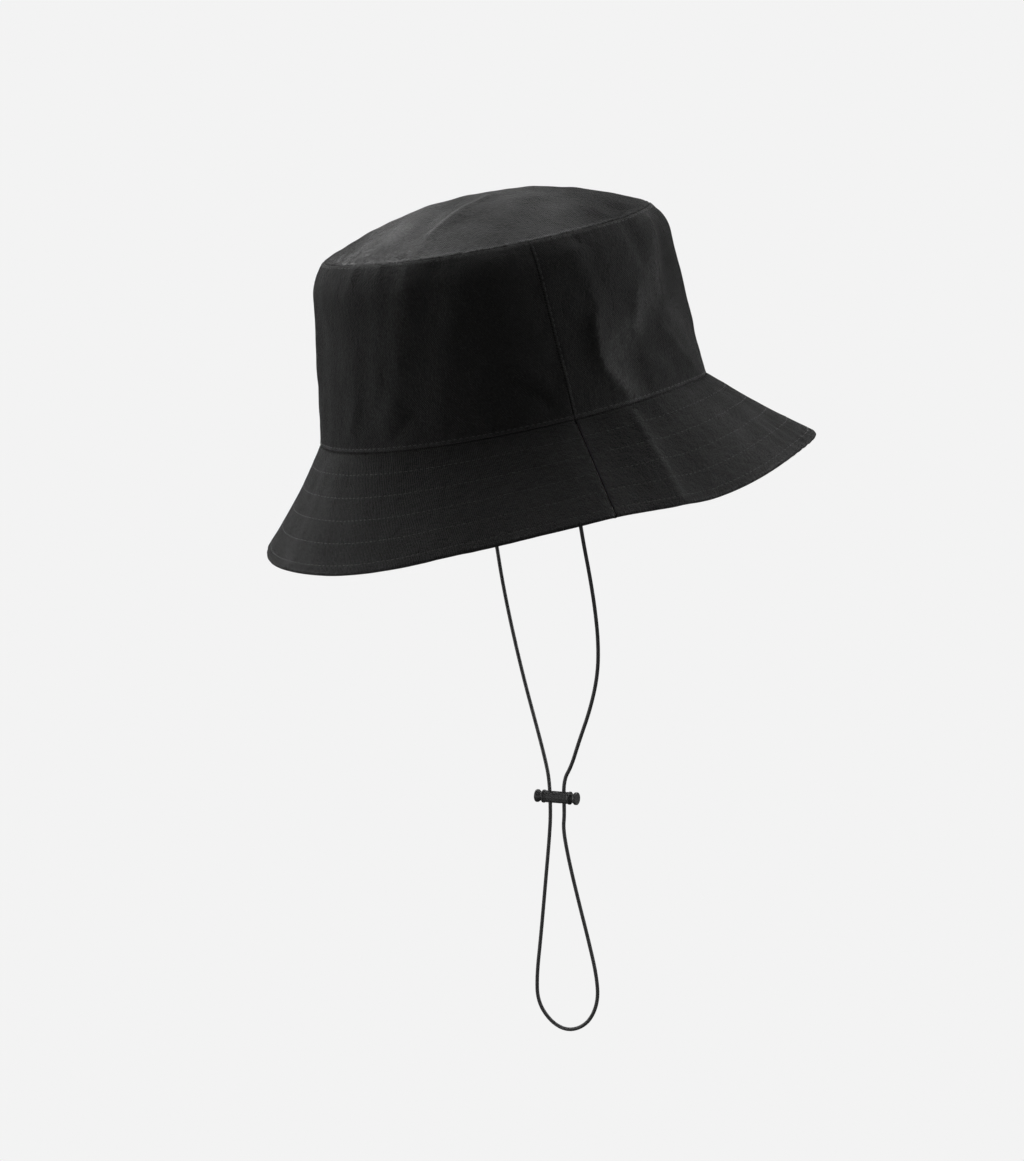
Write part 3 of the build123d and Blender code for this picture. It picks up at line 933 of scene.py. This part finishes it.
class Shader:
    """Short calls for building a node tree."""

    def __init__(self, name):
        self.material = bpy.data.materials.new(name)
        self.material.use_nodes = True
        self.tree = self.material.node_tree
        self.tree.nodes.clear()
        self.output = self.add("ShaderNodeOutputMaterial")

    def add(self, kind, **values):
        node = self.tree.nodes.new(kind)
        for key, value in values.items():
            setattr(node, key, value)
        return node

    def link(self, source, target):
        self.tree.links.new(source, target)

    def feed(self, socket, value):
        if isinstance(value, bpy.types.NodeSocket):
            self.link(value, socket)
        else:
            socket.default_value = value

    def math(self, operation, a, b=0.0, c=0.0, clamp=False):
        node = self.add("ShaderNodeMath", operation=operation, use_clamp=clamp)
        for socket, value in zip(node.inputs, (a, b, c)):
            self.feed(socket, value)
        return node.outputs[0]

    def spread(self, value, low, high, to_low=0.0, to_high=1.0):
        node = self.add("ShaderNodeMapRange", interpolation_type="SMOOTHSTEP")
        for socket, number in zip(node.inputs, (value, low, high, to_low, to_high)):
            self.feed(socket, number)
        return node.outputs[0]

    def noise(self, where, scale, detail=2.0, rough=0.5, squash=None):
        if squash:
            node = self.add("ShaderNodeVectorMath", operation="MULTIPLY")
            self.link(where, node.inputs[0])
            node.inputs[1].default_value = squash
            where = node.outputs[0]
        node = self.add("ShaderNodeTexNoise")
        self.link(where, node.inputs["Vector"])
        node.inputs["Scale"].default_value = scale
        node.inputs["Detail"].default_value = detail
        node.inputs["Roughness"].default_value = rough
        return node.outputs["Fac"]

    def mix(self, share, first, second):
        node = self.add("ShaderNodeMix", data_type="RGBA")
        self.feed(node.inputs[0], share)
        self.feed(node.inputs[6], first)
        self.feed(node.inputs[7], second)
        return node.outputs[2]

    def bump(self, height, distance, strength=1.0, normal=None):
        node = self.add("ShaderNodeBump")
        node.inputs["Strength"].default_value = strength
        node.inputs["Distance"].default_value = distance
        self.link(height, node.inputs["Height"])
        if normal is not None:
            self.link(normal, node.inputs["Normal"])
        return node.outputs[0]

    def surface(self, color, roughness, normal=None, **settings):
        node = self.add("ShaderNodeBsdfPrincipled")
        self.feed(node.inputs["Base Color"], color)
        self.feed(node.inputs["Roughness"], roughness)
        if normal is not None:
            self.link(normal, node.inputs["Normal"])
        for name, value in settings.items():
            node.inputs[name.replace("_", " ")].default_value = value
        self.link(node.outputs[0], self.output.inputs["Surface"])
        return self.material


def grey(value, warm=0.0):
    return (value * (1 + warm), value, value * (1 - warm), 1)


def cloth_places(shader):
    """Sockets for a cloth's own coordinates in millimetres, across and along."""
    uv = shader.add("ShaderNodeUVMap", uv_map="cloth").outputs[0]
    scale = shader.add("ShaderNodeVectorMath", operation="SCALE")
    shader.link(uv, scale.inputs[0])
    scale.inputs["Scale"].default_value = 1000.0
    parts = shader.add("ShaderNodeSeparateXYZ")
    shader.link(scale.outputs[0], parts.inputs[0])
    return scale.outputs[0], parts.outputs[0], parts.outputs[1]


WALE = 0.85                # one rib of the twill
WALE_ANGLE = math.radians(52)
YARN = 0.42                # one crossing yarn within a rib


def twill(name, dark, light):
    s = Shader(name)
    place, u, v = cloth_places(s)
    sway = s.noise(place, 0.11, 2)
    jitter = s.noise(place, 1.3, 2)
    across = s.math("MULTIPLY", u, math.sin(WALE_ANGLE) / WALE)
    along = s.math("MULTIPLY", v, math.cos(WALE_ANGLE) / WALE)
    rib_at = s.math("ADD", across, along)
    rib_at = s.math("MULTIPLY_ADD", sway, 1.6, rib_at)
    rib_at = s.math("MULTIPLY_ADD", jitter, 0.35, rib_at)
    rib = s.math("SINE", s.math("MULTIPLY", rib_at, 2 * math.pi))
    yarn_at = s.math("MULTIPLY_ADD", jitter, 0.5, s.math("MULTIPLY", v, 1 / YARN))
    yarn = s.math("SINE", s.math("MULTIPLY", yarn_at, 2 * math.pi))
    weave = s.math("MULTIPLY_ADD", yarn, 0.28, rib)
    weave = s.spread(weave, -1.2, 1.2)
    nap = s.noise(place, 1.9, 3, 0.7)
    slub = s.noise(place, 1.0, 2, 0.5, (0.10, 1.5, 1.0))
    fade = s.noise(place, 0.035, 3, 0.6)
    grain = s.noise(place, 0.8, 3, 0.65, (1.0, 0.7, 1.0))
    height = s.math("MULTIPLY_ADD", nap, 2.4, weave)
    height = s.math("MULTIPLY_ADD", slub, 0.8, height)
    height = s.math("MULTIPLY_ADD", grain, 3.8, height)
    height = s.math("MULTIPLY_ADD", s.noise(place, 0.33, 2, 0.6), 2.6, height)
    fine = s.bump(height, 0.00042, 1.0)
    soft = s.bump(s.noise(place, 0.16, 3, 0.55), 0.0011, 0.7, fine)
    tone = s.math("MULTIPLY_ADD", weave, 0.3, s.math("MULTIPLY", fade, 0.5))
    tone = s.math("MULTIPLY_ADD", nap, 1.5, tone)
    tone = s.math("MULTIPLY_ADD", grain, 1.5, tone)
    colour = s.mix(s.spread(tone, 1.35, 2.45), dark, light)
    # The wear value paints the cloth up to three times lighter and makes it smoother: real wear at
    # seams and edges, and painted highlight and shade on the tip, along ridges and in broad bands.
    rubbed_and_lit = s.add("ShaderNodeAttribute", attribute_name="wear_and_light").outputs["Fac"]
    worn_and_lit = s.math("MULTIPLY", rubbed_and_lit, s.spread(s.noise(place, 0.5, 3, 0.7), 0.3, 0.75), clamp=True)
    colour = s.mix(s.math("MULTIPLY", worn_and_lit, 0.7), colour, [3.0 * k for k in light[:3]] + [1])
    lint = s.spread(s.noise(place, 2.2, 1, 0.4, (0.5, 1.6, 1.0)), 0.735, 0.80)
    colour = s.mix(s.math("MULTIPLY", lint, 0.45), colour, grey(0.07))
    rough = s.math("MULTIPLY_ADD", rubbed_and_lit, -0.36, s.spread(fade, 0.3, 0.7, 0.72, 0.86), clamp=True)
    return s.surface(colour, rough, soft, Specular_IOR_Level=0.16, Sheen_Weight=0.10,
                     Sheen_Roughness=0.45, Sheen_Tint=grey(0.9))


def thread(name, colour):
    s = Shader(name)
    place, u, v = cloth_places(s)
    ply_at = s.math("MULTIPLY_ADD", u, 9.0, s.math("MULTIPLY", v, 12.0))
    ply = s.math("SINE", ply_at)
    shade = s.spread(s.noise(place, 0.3, 3, 0.6), 0.35, 0.65)
    colour = s.mix(shade, [0.35 * k for k in colour[:3]] + [1], colour)
    normal = s.bump(ply, 0.00004, 0.7)
    return s.surface(colour, 0.5, normal, Specular_IOR_Level=0.45, Sheen_Weight=0.2)


def plain_weave(name, dark, light, pitch, distance):
    s = Shader(name)
    place, u, v = cloth_places(s)
    jitter = s.noise(place, 0.9, 2)
    sway = s.math("MULTIPLY", jitter, 2)
    one = s.math("SINE", s.math("MULTIPLY_ADD", u, 2 * math.pi / pitch, sway))
    other = s.math("SINE", s.math("MULTIPLY_ADD", v, 2 * math.pi / pitch, sway))
    weave = s.spread(s.math("MULTIPLY", one, other), -1, 1)
    fade = s.noise(place, 0.06, 3)
    tone = s.math("MULTIPLY_ADD", weave, 0.5, s.math("MULTIPLY", fade, 0.6))
    colour = s.mix(tone, dark, light)
    normal = s.bump(weave, distance, 0.8)
    normal = s.bump(s.noise(place, 0.12, 3), 0.0006, 0.5, normal)
    return s.surface(colour, 0.8, normal, Specular_IOR_Level=0.2, Sheen_Weight=0.1)


def ribbed_tape(name, dark, light, pitch):
    s = Shader(name)
    place, u, v = cloth_places(s)
    rib = s.math("SINE", s.math("MULTIPLY", u, 2 * math.pi / pitch))
    fine = s.math("SINE", s.math("MULTIPLY", v, 2 * math.pi / 0.35))
    weave = s.spread(s.math("MULTIPLY_ADD", fine, 0.3, rib), -1.2, 1.2)
    fade = s.noise(place, 0.08, 3)
    tone = s.math("MULTIPLY_ADD", weave, 0.5, s.math("MULTIPLY", fade, 0.6))
    normal = s.bump(weave, 0.00018, 0.9)
    return s.surface(s.mix(tone, dark, light), 0.75, normal, Specular_IOR_Level=0.25,
                     Sheen_Weight=0.1)


def felted(name, colour):
    s = Shader(name)
    place, _, _ = cloth_places(s)
    fibres = s.noise(place, 1.6, 5, 0.75)
    colour = s.mix(fibres, [0.8 * k for k in colour[:3]] + [1], colour)
    return s.surface(colour, 0.9, s.bump(fibres, 0.0002, 0.8), Specular_IOR_Level=0.2)


def elastic(name, dark, light):
    s = Shader(name)
    place, _, _ = cloth_places(s)
    plait = s.noise(place, 4.0, 3, 0.7)
    shade = s.noise(place, 0.25, 3)
    colour = s.mix(s.math("MULTIPLY_ADD", plait, 0.6, s.math("MULTIPLY", shade, 0.5)), dark, light)
    normal = s.bump(plait, 0.00003, 0.8)
    return s.surface(colour, 0.6, normal, Specular_IOR_Level=0.4, Sheen_Weight=0.12)


def moulded(name, colour, rough):
    s = Shader(name)
    place = s.add("ShaderNodeTexCoord").outputs["Object"]
    grain = s.noise(place, 4200, 3, 0.6)
    broad = s.noise(place, 260, 3, 0.5)
    marks = s.noise(place, 900, 2, 0.6, (1.0, 0.15, 1.0))
    tone = s.mix(broad, [0.85 * k for k in colour[:3]] + [1], colour)
    roughness = s.spread(marks, 0.3, 0.7, rough - 0.02, rough + 0.04)
    return s.surface(tone, roughness, s.bump(grain, 0.000006, 0.5), Specular_IOR_Level=0.5)


def drawn_wire(name):
    s = Shader(name)
    place = s.add("ShaderNodeTexCoord").outputs["Object"]
    marks = s.noise(place, 3000, 3, 0.6)
    return s.surface(s.mix(marks, grey(0.45), grey(0.7)), s.spread(marks, 0.3, 0.7, 0.22, 0.4),
                     Metallic=1.0)


def paint_node(node, material):
    """Give a CAD node that stays a better material, in its own material slots."""
    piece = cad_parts[node]
    if not piece.material_slots:
        piece.data.materials.append(material)
    for place in piece.material_slots:
        place.material = material


# ---------------------------------------------------------------- camera, lights and stage

VIEW_AZIMUTH = math.radians(75)    # from straight in front of the hat, round to its left side
VIEW_HEIGHT = math.radians(11.7)
VIEW_ROLL = math.radians(-11.1)
VIEW_DISTANCE = 2.1
AIM_RIGHT, AIM_UP = -0.0016, -0.0907
LENS_MM, SENSOR_MM = 126.98, 36


def camera():
    az, el, roll = VIEW_AZIMUTH, VIEW_HEIGHT, VIEW_ROLL
    back = Vector((math.sin(az) * math.cos(el), -math.cos(az) * math.cos(el), math.sin(el)))
    level = (-back).cross(Vector((0, 0, 1))).normalized()
    up = level.cross(-back)
    right = level * math.cos(roll) + up * math.sin(roll)
    tipped_up = up * math.cos(roll) - level * math.sin(roll)
    data = bpy.data.cameras.new("camera")
    data.lens = LENS_MM
    data.sensor_width = SENSOR_MM
    data.clip_end = 100
    eye = bpy.data.objects.new("camera", data)
    turn = Matrix((right, tipped_up, back)).transposed().to_4x4()
    place = right * AIM_RIGHT + tipped_up * AIM_UP + back * VIEW_DISTANCE
    eye.matrix_world = Matrix.Translation(place) @ turn
    bpy.context.scene.collection.objects.link(eye)
    bpy.context.scene.camera = eye


PAPER = 0.8963             # the stage's even pale grey
FLOOR_AT = -500            # below the cord's loop
FLOOR_RADIUS = 9000
BACKDROP_RADIUS = 8800


def stage():
    """A plain pale floor below the cord's loop and a round backdrop, which light nothing."""
    s = Shader("stage")
    glow = s.add("ShaderNodeEmission")
    glow.inputs["Color"].default_value = (PAPER, PAPER, PAPER, 1)
    s.link(glow.outputs[0], s.output.inputs["Surface"])
    count = 64
    index = np.arange(count)
    turn = 2 * math.pi * index / count
    ring = np.stack([np.cos(turn), np.sin(turn), 0 * turn], -1)
    floor_points = np.concatenate([[[0, 0, 0]], ring]) * FLOOR_RADIUS + (0, 0, FLOOR_AT)
    fan = np.stack([0 * index, index + 1, (index + 1) % count + 1], -1)
    floor = new_mesh("floor", floor_points, fan)
    rise = np.linspace(-0.08, math.pi / 2 - 0.02, 18)
    rows = [ring * math.cos(a) + (0, 0, math.sin(a)) for a in rise]
    shell = np.concatenate(rows) * BACKDROP_RADIUS
    backdrop = new_mesh("backdrop", shell, quads(len(rise), count, closed=True)[:, ::-1])
    for piece in (floor, backdrop):
        piece.data.materials.append(s.material)
        piece.visible_diffuse = False
        piece.visible_glossy = False
        piece.visible_transmission = False
        piece.visible_shadow = False


# Azimuth 0 is in front of the hat, 90 on its left; then elevation and power
LIGHTS = [("light_top", 270, 65, 22), ("light_top_front", 300, 30, 7),
          ("light_back", 180, 10, 20), ("light_front", 330, 10, 10.5),
          ("light_front_left", 0, 10, 4.2), ("light_camera_side", 120, 40, 2.4),
          ("light_low", 75, -15, 3.9), ("light_far_side", 255, 32, 5)]
LIGHT_AIM = (0, 0, 0.04)
LIGHT_DISTANCE = 1.6
LIGHT_SIZE = 1.0
AMBIENT = 0.012


def soft_light(name, azimuth, elevation, power):
    """A square area light that faces the hat."""
    az, el = math.radians(azimuth), math.radians(elevation)
    way = Vector((math.sin(az) * math.cos(el), -math.cos(az) * math.cos(el), math.sin(el)))
    data = bpy.data.lights.new(name, "AREA")
    data.shape = "SQUARE"
    data.size = LIGHT_SIZE
    data.energy = power
    lamp = bpy.data.objects.new(name, data)
    lamp.location = Vector(LIGHT_AIM) + way * LIGHT_DISTANCE
    lamp.rotation_euler = way.to_track_quat("Z", "Y").to_euler()
    bpy.context.scene.collection.objects.link(lamp)


def lights():
    for light in LIGHTS:
        soft_light(*light)
    world = bpy.data.worlds.new("studio")
    world.use_nodes = True
    ambient = world.node_tree.nodes["Background"]
    ambient.inputs["Color"].default_value = (1, 1, 1, 1)
    ambient.inputs["Strength"].default_value = AMBIENT
    bpy.context.scene.world = world


# ---------------------------------------------------------------- assembly

def build():
    bpy.context.scene.view_settings.view_transform = "Standard"
    camera()
    lock_spring(drawn_wire("spring_wire"))
    chin_cord(elastic("braided_elastic", grey(0.055), grey(0.075)))
    twill_material = twill("black_twill", grey(0.0045, 0.01), grey(0.019, 0.01))
    dark_thread = thread("black_thread", grey(0.015))
    thread_material = thread("grey_thread", grey(0.03))
    crown_wall(twill_material)
    crown_tip(twill_material)
    brim(twill_material, felted("interlining", grey(0.7, 0.02)))
    lining(plain_weave("black_lining", grey(0.008), grey(0.018), 0.5, 0.00008))
    sweatband(ribbed_tape("black_grosgrain", grey(0.008), grey(0.02), 0.8))
    stitching(thread_material, dark_thread)
    cord_tabs(ribbed_tape("black_tape", grey(0.01), grey(0.022), 0.5), dark_thread)
    paint_node("lock_barrel", moulded("lock_black", grey(0.075), 0.38))
    for node in ("lock_button_left", "lock_button_right"):
        paint_node(node, moulded(f"{node}_black", grey(0.075), 0.34))
    stage()
    lights()


build()
